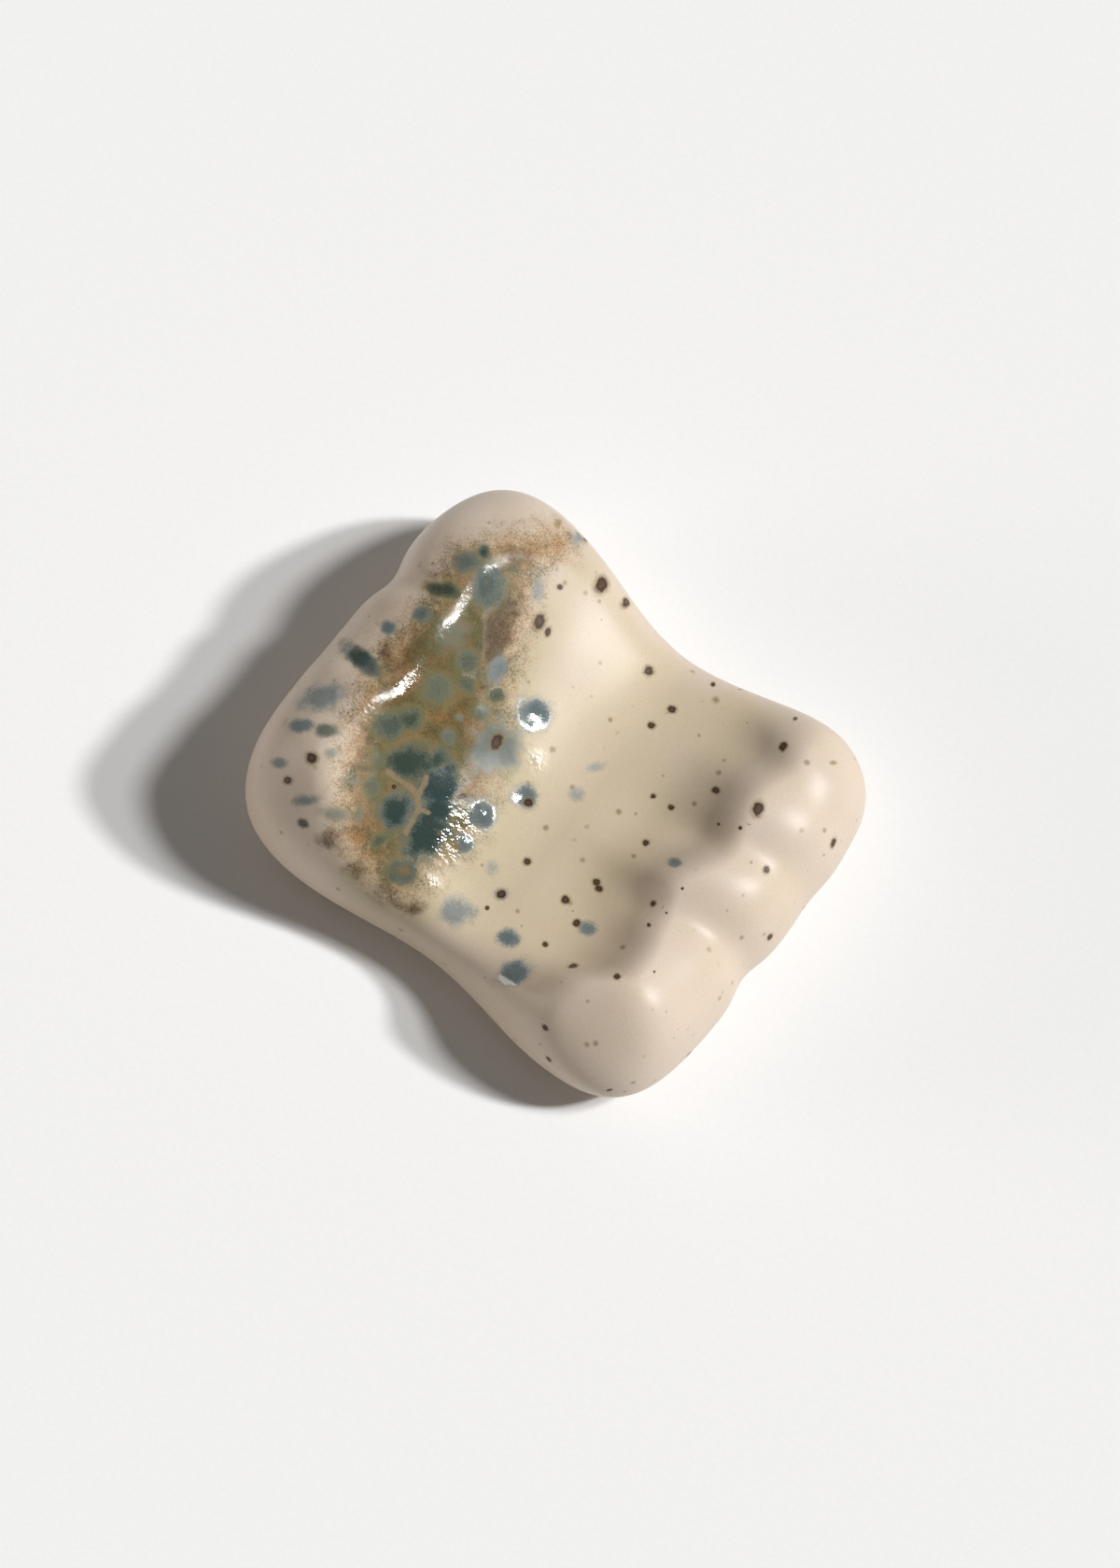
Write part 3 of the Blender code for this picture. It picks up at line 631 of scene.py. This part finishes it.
def speck_share(tree, layers):
    """Least share of the way out to a speck's edge over layers of specks that don't meet."""
    node = partial(add, tree)
    nearest = None
    for name in layers:
        layer = node("Attribute", out="Vector", attribute_name=name)
        trust = node("SeparateXYZ", {0: layer}, out="Z")
        flat = node("VectorMath", {0: layer, 1: (1.0, 1.0, 0.0)}, **TIMES)
        share = node("VectorMath", {0: flat}, out="Value", operation='LENGTH')
        away = node("MapRange", (trust, 1.0, 0.9, 0.0, UNSEEN))
        share = node("Math", (share, away), **PLUS)
        if nearest is not None:
            share = node("Math", (nearest, share), operation='MINIMUM')
        nearest = share
    return nearest


def glaze_material(colours):
    """Stoneware glaze, dipped and fired: a satin cream coat, clouded and sandy, with melted iron
    specks; over the left ridge a runny glossy glaze that broke into tan, umber and blue spots."""
    name = "dipped_satin_cream_glaze_with_reactive_glaze"
    material, tree, node, shader = new_material(name)
    place = node("TexCoord", out="Object")
    sparkle = node("Attribute", out="Fac", attribute_name="sparkles")
    values = []
    for name in ("reactive_glaze", "blue_spots", "pooling"):
        value = node("Attribute", out="Vector", attribute_name=name)
        values.append(node("SeparateXYZ", (value,)).node.outputs)
    glaze, spots, pooling = values

    cloud, wander, ragged, sand, streak, melt, peel, wrinkle = (
        node("TexNoise", {"Vector": place, "Scale": per_mm(size), "Detail": detail,
                          "Roughness": roughness, "Distortion": bend})
        for size, detail, roughness, bend in GLAZE_PATTERNS)

    # Cream: yellower where it gathered in the hollow, greener beside the reactive glaze
    drift = node("MapRange", (cloud, 0.3, 0.7, -0.35, 0.35))
    gathered = node("Math", (pooling["X"], drift), use_clamp=True, **PLUS)
    colour = node("Mix", {0: gathered, 6: colours.thin_cream, 7: colours.pooled_cream}, **MIX)
    colour = node("Mix", {0: pooling["Z"], 6: colour, 7: colours.stained_cream}, **MIX)
    grain = node("MapRange", (sand, 0.3, 0.7, 0.95, 1.05))
    colour = node("VectorMath", {0: colour, "Scale": grain}, **SCALED)

    # Reactive glaze: a thin tan wash at its ragged edge, thicker and browner inwards, with streaks
    shift = node("MapRange", (ragged, 0.25, 0.75, -1.1, 1.1))
    dust = node("MapRange", (sand, 0.25, 0.75, -1.3, 1.3))
    reach = node("Math", (glaze["X"], shift), **PLUS)
    ground = node("Math", (reach, dust), **PLUS)
    cover = node("MapRange", (ground, -2.2, 2.2), **SMOOTH)
    thick = node("MapRange", (reach, 0.0, 4.6), **SMOOTH)
    brown = node("Mix", {0: thick, 6: colours.wash, 7: colours.ochre}, **MIX)
    dark = node("MapRange", (streak, 0.46, 0.74, 0.0, 0.85), **SMOOTH)
    brown = node("Mix", {0: dark, 6: brown, 7: colours.umber}, **MIX)
    burnt = node("Math", (glaze["Z"], ragged), **TIMES)
    burnt = node("MapRange", (burnt, 0.1, 0.55), **SMOOTH)
    brown = node("Mix", {0: burnt, 6: brown, 7: colours.rust}, **MIX)

    # Olive stain that drifts out of the spots, in patches
    beside = node("MapRange", (spots["X"], 2.8, 1.1), **SMOOTH)
    patch = node("MapRange", (streak, 0.38, 0.58, 0.15, 0.9), **SMOOTH)
    beside = node("Math", (beside, patch), **TIMES)
    brown = node("Mix", {0: beside, 6: brown, 7: colours.olive}, **MIX)
    colour = node("Mix", {0: cover, 6: colour, 7: brown}, **MIX)

    # Dark smears, a soft tone under fine grains, and thinner pepper over all of the reactive glaze
    smear = node("Math", (glaze["Y"], ragged), **TIMES)
    smear = node("MapRange", (smear, 0.10, 0.48, 0.0, 0.75), **SMOOTH)
    colour = node("Mix", {0: smear, 6: colour, 7: colours.umber}, **MIX)
    pepper = node("MapRange", (sand, 0.46, 0.62))
    rim = node("Math", (cover, 0.42), **TIMES)
    grains = node("Math", (smear, rim), **MOST)
    grains = node("Math", (grains, pepper), **TIMES)
    colour = node("Mix", {0: grains, 6: colour, 7: colours.pepper}, **MIX)

    # Spots: dark thick middles, soft thin greener edges, a pale ring round them
    wobble = node("MapRange", (wander, 0.25, 0.75, -0.22, 0.22))
    bleed = node("MapRange", (sand, 0.25, 0.75, -0.16, 0.16))
    share = node("Math", (spots["X"], wobble), **PLUS)
    share = node("Math", (share, bleed), **PLUS)
    ring = node("MapRange", (share, 1.7, 1.2, 0.0, 0.17), **SMOOTH)
    ring = node("Math", (ring, spots["Y"]), **TIMES)
    colour = node("Mix", {0: ring, 6: colour, 7: colours.pale_ring}, **MIX)
    solid = node("MapRange", (spots["Y"], 0.0, 0.6, 0.0, 0.7))
    spot = node("MapRange", (share, 1.35, solid), **SMOOTH)
    middle = node("MapRange", (share, 1.1, 0.25), **SMOOTH)
    clots = node("MapRange", (streak, 0.3, 0.7, -0.3, 0.3))
    middle = node("Math", (middle, clots), **PLUS)
    depth = node("Math", (middle, spots["Y"]), **TIMES)
    depth = node("Math", (depth, spots["Y"]), **PLUS)
    depth = node("MapRange", (depth, 0.45, 1.65))
    tint = node("MapRange", (share, 0.5, 1.2, 0.0, 0.4))
    tint = node("Math", (tint, cover), **TIMES)
    tint = node("Math", (tint, spots["Z"]), use_clamp=True, **PLUS)
    thin = node("Mix", {0: tint, 6: colours.blue_grey, 7: colours.pale_green}, **MIX)
    full = node("Mix", {0: spots["Z"], 6: colours.deep_teal, 7: colours.deep_green}, **MIX)
    blue = node("Mix", {0: depth, 6: thin, 7: full}, **MIX)
    speckle = node("MapRange", (sand, 0.3, 0.7, 0.85, 1.15))
    blue = node("VectorMath", {0: blue, "Scale": speckle}, **SCALED)
    strength = node("MapRange", (spots["Y"], 0.0, 0.5, 0.4, 0.95))
    strength = node("Math", (spot, strength), **TIMES)
    colour = node("Mix", {0: strength, 6: colour, 7: blue}, **MIX)

    # Pale gaps, about half a millimetre wide, between the thickest spots
    gap = node("MapRange", (ragged, 0.25, 0.75, -0.22, 0.22))
    gap = node("Math", (pooling["Y"], gap), **PLUS)
    gap = node("MapRange", (gap, 0.38, 0.16, 0.0, 0.9), **SMOOTH)
    line = node("VectorMath", {0: colours.pale_line, "Scale": speckle}, **SCALED)
    colour = node("Mix", {0: gap, 6: colour, 7: line}, **MIX)

    # Iron: specks with a dark rim, a redder middle and a melted brown edge, and fainter rusty ones
    jitter = node("MapRange", (melt, 0.25, 0.75, -0.22, 0.22))
    rust_share = speck_share(tree, RUSTY_LAYERS)
    rust_share = node("Math", (rust_share, jitter), **PLUS)
    rusty = node("MapRange", (rust_share, 1.5, 0.3, 0.0, 0.7), **SMOOTH)
    cells = node("TexVoronoi", {"Vector": place, "Scale": per_mm(1.9)}).node.outputs
    lot = node("SeparateColor", {0: cells["Color"]}, out="Red")
    size = node("MapRange", (lot, 0.30, 1.0, 0.04, 0.27))
    faint = node("MapRange", (cells["Distance"], size, 0.02, 0.0, 0.65), **SMOOTH)
    iron_share = speck_share(tree, IRON_LAYERS)
    iron_share = node("Math", (iron_share, jitter), **PLUS)
    melted = node("MapRange", (iron_share, 1.9, 0.9, 0.0, 0.6), **SMOOTH)
    for stain in (rusty, faint, melted):
        colour = node("Mix", {0: stain, 6: colour, 7: colours.halo}, **MIX)
    crust = node("MapRange", (iron_share, 0.75, 0.25), **SMOOTH)
    crust = node("Mix", {0: crust, 6: colours.iron, 7: colours.crust}, **MIX)
    core = node("MapRange", (iron_share, 1.2, 0.75, 0.0, 0.93), **SMOOTH)
    colour = node("Mix", {0: core, 6: colour, 7: crust}, **MIX)

    # Gloss: the reactive glaze is mirror-smooth between fine wrinkles, the cream is satin
    runny = node("MapRange", (reach, 2.2, 4.8), **SMOOTH)
    bead = node("MapRange", (share, 1.05, 0.8), **SMOOTH)
    full_bead = node("MapRange", (spots["Y"], 0.46, 0.5, 0.1), **SMOOTH)
    bead = node("Math", (bead, full_bead), **TIMES)
    wet = node("MapRange", (smear, 0.0, 0.35, 1.0, 0.0))
    runny = node("Math", (runny, wet), **TIMES)
    for glossy in (bead, sparkle):
        runny = node("Math", (runny, glossy), **MOST)
    rough = node("MapRange", (runny, 0.0, 1.0, SATIN_ROUGHNESS, GLOSS_ROUGHNESS))
    dry = node("Math", (pooling["Z"], smear), **MOST)
    dry = node("Math", (dry, strength), **MOST)
    satin = node("MapRange", (dry, 0.0, 1.0, SATIN_SHINE, DRY_SHINE))
    shine = node("MapRange", (runny, 0.0, 1.0, satin, GLOSS_SHINE))
    bump = node("Bump", {"Height": peel, "Distance": PEEL_HEIGHT})
    tooth = node("Math", (sand, runny), **TIMES)
    bump = node("Bump", {"Height": tooth, "Distance": TOOTH_HEIGHT, "Normal": bump})
    thickest = node("Math", (strength, depth), **TIMES)
    thickest = node("Math", (thickest, SPOT_WRINKLE), **TIMES)
    thickest = node("Math", (thickest, sparkle), **MOST)
    wrinkle = node("Math", (wrinkle, thickest), **TIMES)
    bump = node("Bump", {"Height": wrinkle, "Distance": WRINKLE_HEIGHT, "Normal": bump})
    feed(tree, shader, {"Base Color": colour, "Roughness": rough, "Specular IOR Level": shine,
                        "IOR": GLAZE_IOR, "Normal": bump})
    return material


def clay_material(colours):
    """Buff stoneware, sponged and fired bare: dry and sandy, clouded, with dark iron grains."""
    material, tree, node, shader = new_material("bare_fired_stoneware")
    place = node("TexCoord", out="Object")
    sand = node("TexNoise",
                {"Vector": place, "Scale": per_mm(0.4), "Detail": 4.0, "Roughness": 0.7})
    cloud = node("TexNoise", {"Vector": place, "Scale": per_mm(8.0), "Detail": 3.0})
    tone = node("MapRange", (cloud, 0.3, 0.7, 0.82, 1.12))
    colour = node("VectorMath", {0: colours.clay, "Scale": tone}, **SCALED)
    grain = node("MapRange", (sand, 0.3, 0.7, 0.88, 1.1))
    colour = node("VectorMath", {0: colour, "Scale": grain}, **SCALED)
    cells = node("TexVoronoi", {"Vector": place, "Scale": per_mm(1.6)}, out="Distance")
    speck = node("MapRange", (cells, 0.16, 0.07))
    colour = node("Mix", {0: speck, 6: colour, 7: colours.umber}, **MIX)
    bump = node("Bump", {"Height": sand, "Distance": CLAY_GRIT_HEIGHT})
    feed(tree, shader, {"Base Color": colour, "Roughness": CLAY_ROUGHNESS, "Normal": bump})
    return material


def floor_material(colours):
    """Matt white board: no gloss, so it keeps only the object's shadow."""
    material, tree, node, shader = new_material("matt_white_board")
    place = node("TexCoord", out="Object")
    tooth = node("TexNoise", {"Vector": place, "Scale": per_mm(0.5), "Detail": 2.0})
    tone = node("MapRange", (tooth, 0.3, 0.7, 0.985, 1.01))
    colour = node("VectorMath", {0: colours.floor, "Scale": tone}, **SCALED)
    feed(tree, shader, {"Base Color": colour, "Roughness": BOARD_ROUGHNESS,
                        "Specular IOR Level": 0.0})
    return material


def add_piece(context, name, mesh, material):
    obj = bpy.data.objects.new(name, mesh)
    context.scene.collection.objects.link(obj)
    mesh.materials.append(material)
    return obj


def set_attribute(mesh, name, values):
    layer = mesh.attributes.new(name, 'FLOAT_VECTOR', 'POINT')
    layer.data.foreach_set("vector", values.astype(np.float32).ravel())


def wall_grid(sizes, top_rows, under_rows, end):
    """Grid of the form from the top through the widest line to the angle where it ends below."""
    phi = np.concatenate((np.linspace(math.pi / 2.0, 0.0, top_rows, endpoint=False),
                          np.linspace(0.0, -end, under_rows)))
    theta = np.linspace(0.0, TURN, COLUMNS, endpoint=False)
    grid_theta, grid_phi = np.meshgrid(theta, phi)
    return grid_phi, form(sizes, grid_theta, grid_phi)


class REST_OT_clay_body(bpy.types.Operator):
    """Make the clay body with its flat bare foot"""
    bl_idname = "rest.clay_body"
    bl_label = "Clay body"

    def execute(self, context):
        sizes = context.scene.rest_sizes
        foot = math.acos(FOOT_SHARE)
        grid_phi, points = wall_grid(sizes, BODY_TOP_ROWS, BODY_FOOT_ROWS, foot)
        inset = sizes.glaze + GLAZE_CLEARANCE
        points = points - grid_normals(points) * inset
        share = np.clip(-grid_phi / foot, 0.0, 1.0)
        points[..., 2] -= inset * ramp((share - COAT_END_SHARE) / (1.0 - COAT_END_SHARE))
        points[..., 2] = np.maximum(points[..., 2], 0.0)
        points[-1, :, 2] = 0.0
        shrink = np.linspace(1.0, 0.0, BODY_SOLE_ROWS + 1)[1:, None, None]
        sole = points[-1][None] * shrink
        mesh = closed_mesh("clay_body", np.concatenate((points, sole)))
        body = add_piece(context, "clay_body", mesh, clay_material(context.scene.rest_colours))
        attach(body, "root")
        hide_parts("stoneware_body")
        return {'FINISHED'}


class REST_OT_glaze_skin(bpy.types.Operator):
    """Make the fired glaze: the cream coat with the reactive glaze melted into it"""
    bl_idname = "rest.glaze_skin"
    bl_label = "Glaze skin"

    def execute(self, context):
        sizes = context.scene.rest_sizes
        end = COAT_END_SHARE * math.acos(FOOT_SHARE)
        grid_phi, points = wall_grid(sizes, TOP_ROWS, UNDER_ROWS, end)
        normals = grid_normals(points)
        u, v = seen_at(points)
        facing = facing_view(points, normals)
        seen = facing > SEEN_FACING
        clear = ramp((facing - SEEN_FACING) / SEEN_FADE)
        shares = np.stack([oval_share(u, v, *spot[:5]) for spot in BLUE_SPOTS])
        nearest = np.argmin(shares, axis=0)
        share = np.where(seen, np.min(shares, axis=0) + SPOT_FADE * (1.0 - clear), UNSEEN)
        tints = np.array([spot[5:] for spot in BLUE_SPOTS])[nearest]
        lift = tints[..., 2] * MM * np.maximum(1.0 - share ** 2, 0.0) ** 2
        points = points + normals * lift[..., None]
        normals = grid_normals(points)

        reactive = inside_reactive(u, v) * clear - STAIN_FADE * (1.0 - clear)
        pepper = patches(u, v, PEPPER_PATCHES) * clear
        rust = patches(u, v, RUST_PATCHES) * clear
        sparkle = patches(u, v, SPARKLES) * clear
        gaps = np.min([line_distance(u, v, *line) for line in PALE_LINES], axis=0)
        gaps = np.where(seen, gaps, UNSEEN)
        stained = ramp(1.0 + reactive / STAIN_REACH) * STAIN * clear
        stained = stained * ramp((points[..., 0] - STAIN_X) / STAIN_RUN)
        above = points[..., 2] - sizes.saddle_height
        pooled = (1.0 - ramp(above / POOL_DEPTH)) * ramp((grid_phi - POOL_RIM) / POOL_RIM_RUN)

        start = points[-1]
        inward = -normals[-1] * sizes.glaze / 2.0
        downward = points[-1] - points[-2]
        downward = downward / np.linalg.norm(downward, axis=-1, keepdims=True) * sizes.glaze / 2.0
        turn = np.linspace(0.0, math.pi, RIM_ROWS + 2)[1:-1, None, None]
        rim = start[None] + inward[None] * (1.0 - np.cos(turn)) + downward[None] * np.sin(turn)
        lining = points - normals * sizes.glaze
        inside = np.concatenate((lining[::-1][::INNER_STEP], lining[:1]))
        rows = np.concatenate((points, rim, inside))
        spare = len(rows) - len(points)

        def spread(values):
            return grid_values(np.concatenate((values, np.repeat(values[-1:], spare, axis=0))))

        mesh = closed_mesh("glaze_skin", rows)
        set_attribute(mesh, "reactive_glaze", spread(np.stack((reactive, pepper, rust), axis=-1)))
        spot_values = np.stack((share, tints[..., 0], tints[..., 1]), axis=-1)
        set_attribute(mesh, "blue_spots", spread(spot_values))
        set_attribute(mesh, "pooling", spread(np.stack((pooled, gaps, stained), axis=-1)))
        set_attribute(mesh, "sparkles", spread(np.repeat(sparkle[..., None], 3, axis=-1)))

        seen_iron = [self.in_view(points, normals, seen, *speck) for speck in IRON_SPECKS]
        seen_rusty = [self.in_view(points, normals, seen, *speck) for speck in RUSTY_SPECKS]
        hidden_iron = self.out_of_view(points, normals, seen)
        kinds = ((IRON_LAYERS, seen_iron, hidden_iron), (RUSTY_LAYERS, seen_rusty, []))
        for names, placed, strewn in kinds:
            for name, layer in zip(names, self.in_layers(placed, strewn, len(names))):
                set_attribute(mesh, name, spread(layer))
        material = glaze_material(context.scene.rest_colours)
        skin = add_piece(context, "glaze_skin", mesh, material)
        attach(skin, "root")
        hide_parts("cream_glaze_coat", "reactive_glaze_pool")
        return {'FINISHED'}

    def in_view(self, points, normals, seen, place_u, place_v, half_length, half_width, turn):
        """Offsets from a speck seen in the view, as shares of its half sizes, and who knows it:
        measured in the surface, where a slope that turns away draws a speck out only so far."""
        u, v = seen_at(points)
        apart = np.where(seen, np.hypot(u - place_u, v - place_v), np.inf)
        centre = np.unravel_index(np.argmin(apart), apart.shape)
        right, up, back = (np.array(axis) for axis in view_axes())
        normal = normals[centre]
        # A touch of the view's up keeps the slope known where the surface faces the view
        aim = back + up * TINY
        slope = aim - normal * (normal @ aim)
        slope = slope / np.linalg.norm(slope)
        level = np.cross(normal, slope)
        drawn = max(normal @ back, SPECK_LEAST_FACING)
        fall = np.array((slope @ right, slope @ up))
        fall = fall / np.linalg.norm(fall) * drawn
        offset = (points - points[centre]) / MM
        out_u = u[centre] - place_u + offset @ level * (level @ right) + offset @ slope * fall[0]
        out_v = v[centre] - place_v + offset @ level * (level @ up) + offset @ slope * fall[1]
        along, across = turned(out_u, out_v, turn)
        reach = SPECK_HALO * half_length + SPECK_MARGIN
        knows = np.hypot(along, across) < reach
        knows &= np.linalg.norm(offset, axis=-1) < reach / SPECK_LEAST_FACING
        return along / half_length, across / half_width, knows

    def out_of_view(self, points, normals, seen):
        """Offsets from round specks strewn over the walls that the view doesn't show."""
        random = np.random.RandomState(HIDDEN_SPECK_SEED)
        rows, columns = np.nonzero(~seen)
        offsets = []
        for pick in random.randint(0, len(rows), HIDDEN_SPECKS):
            radius = random.uniform(*HIDDEN_SPECK_RADII)
            centre = points[rows[pick], columns[pick]]
            normal = normals[rows[pick], columns[pick]]
            level = np.cross((0.0, 0.0, 1.0), normal)
            level = level / np.linalg.norm(level)
            offset = (points - centre) / MM
            along = offset @ level
            across = offset @ np.cross(normal, level)
            near = np.linalg.norm(offset, axis=-1) < SPECK_HALO * radius + SPECK_MARGIN
            offsets.append((along / radius, across / radius, near))
        return offsets

    def in_layers(self, placed, strewn, count):
        """Put each speck in the first layer where no point knows another speck; a strewn speck
        that finds no such layer is left out."""
        layers = [np.zeros((*placed[0][0].shape, 3)) for _ in range(count)]
        for layer in layers:
            layer[..., :2] = UNSEEN
        for index, (along, across, knows) in enumerate(placed + strewn):
            free = [layer for layer in layers if not layer[knows, 2].any()]
            if free:
                free[0][knows] = np.stack((along, across, knows.astype(float)), axis=-1)[knows]
            elif index < len(placed):
                raise RuntimeError("too many specks meet for the layers of specks")
        return layers


class REST_OT_stage(bpy.types.Operator):
    """Set the floor, the lamps, the sky and the camera of the photograph"""
    bl_idname = "rest.stage"
    bl_label = "Stage"

    WHITE = (1.0, 1.0, 1.0)
    WARM = (1.0, 0.92, 0.84)
    # Lamps: bearing in the view and height over the floor (degrees, the bearing from the view's
    # right, anticlockwise), width of the source (degrees), share of the floor's light, colour
    LAMPS = (
        ("key", -4.5, 39.3, 4.5, 0.457, WHITE),
        ("second_key", -1.0, 48.9, 8.0, 0.412, WHITE),
        ("overhead", 70.0, 55.0, 90.0, 0.055, WHITE),
        ("fill", 178.0, 4.0, 30.0, 0.030, WARM),
    )
    SKY = 0.045
    FLOOR_HALF = 1.5

    def execute(self, context):
        scene = context.scene
        half = self.FLOOR_HALF
        mesh = bpy.data.meshes.new("floor")
        corners = ((-half, -half, 0.0), (half, -half, 0.0), (half, half, 0.0), (-half, half, 0.0))
        mesh.from_pydata(corners, [], ((0, 1, 2, 3),))
        floor = add_piece(context, "floor", mesh, floor_material(scene.rest_colours))

        right, up, back = view_axes()
        azimuth = math.radians(VIEW_AZIMUTH)
        ahead = Vector((-math.sin(azimuth), math.cos(azimuth), 0.0))
        for name, bearing, height, width, share, colour in self.LAMPS:
            bearing = math.radians(bearing)
            height = math.radians(height)
            level = right * math.cos(bearing) + ahead * math.sin(bearing)
            towards = level * math.cos(height) + Vector((0.0, 0.0, math.sin(height)))
            lamp = bpy.data.lights.new(name, 'SUN')
            lamp.energy = share * math.pi / math.sin(height)
            lamp.angle = math.radians(width)
            lamp.color = colour
            obj = bpy.data.objects.new(name, lamp)
            obj.rotation_mode = 'QUATERNION'
            obj.rotation_quaternion = towards.to_track_quat('Z', 'Y')
            scene.collection.objects.link(obj)

        world = bpy.data.worlds.new("studio")
        world.use_nodes = True
        sky = world.node_tree.nodes["Background"]
        feed(world.node_tree, sky, {"Color": self.WARM, "Strength": self.SKY})
        scene.world = world

        lens = bpy.data.cameras.new("camera")
        lens.sensor_width = SENSOR
        lens.lens = SENSOR * VIEW_DISTANCE / (VIEW_WIDTH * VIEW_HEIGHT_SHARE)
        camera = bpy.data.objects.new("camera", lens)
        turn = Matrix((right, up, back)).transposed().to_4x4()
        camera.matrix_world = Matrix.Translation(Vector(VIEW_TARGET) + back * VIEW_DISTANCE) @ turn
        scene.collection.objects.link(camera)
        scene.camera = camera
        scene.view_settings.view_transform = 'Standard'
        return {'FINISHED'}


class REST_PT_sidebar(bpy.types.Panel):
    """Lists the rest's sizes, colours and the steps that build it"""
    bl_idname = "REST_PT_sidebar"
    bl_label = "Chopstick rest"
    bl_space_type = 'VIEW_3D'
    bl_region_type = 'UI'
    bl_category = "Chopstick rest"

    def draw(self, context):
        layout = self.layout
        for group in (context.scene.rest_sizes, context.scene.rest_colours):
            column = layout.column(align=True)
            for name in group.__annotations__:
                column.prop(group, name)
        for step in STEPS:
            layout.operator(step.bl_idname)


STEPS = (REST_OT_clay_body, REST_OT_glaze_skin, REST_OT_stage)
CLASSES = (RestSizes, RestColours, *STEPS, REST_PT_sidebar)


def register():
    for item in CLASSES:
        bpy.utils.register_class(item)
    bpy.types.Scene.rest_sizes = bpy.props.PointerProperty(type=RestSizes)
    bpy.types.Scene.rest_colours = bpy.props.PointerProperty(type=RestColours)


def unregister():
    del bpy.types.Scene.rest_colours
    del bpy.types.Scene.rest_sizes
    for item in reversed(CLASSES):
        bpy.utils.unregister_class(item)


def main():
    register()
    bpy.ops.rest.stage()
    bpy.ops.rest.clay_body()
    bpy.ops.rest.glaze_skin()


if __name__ == "__main__":
    main()
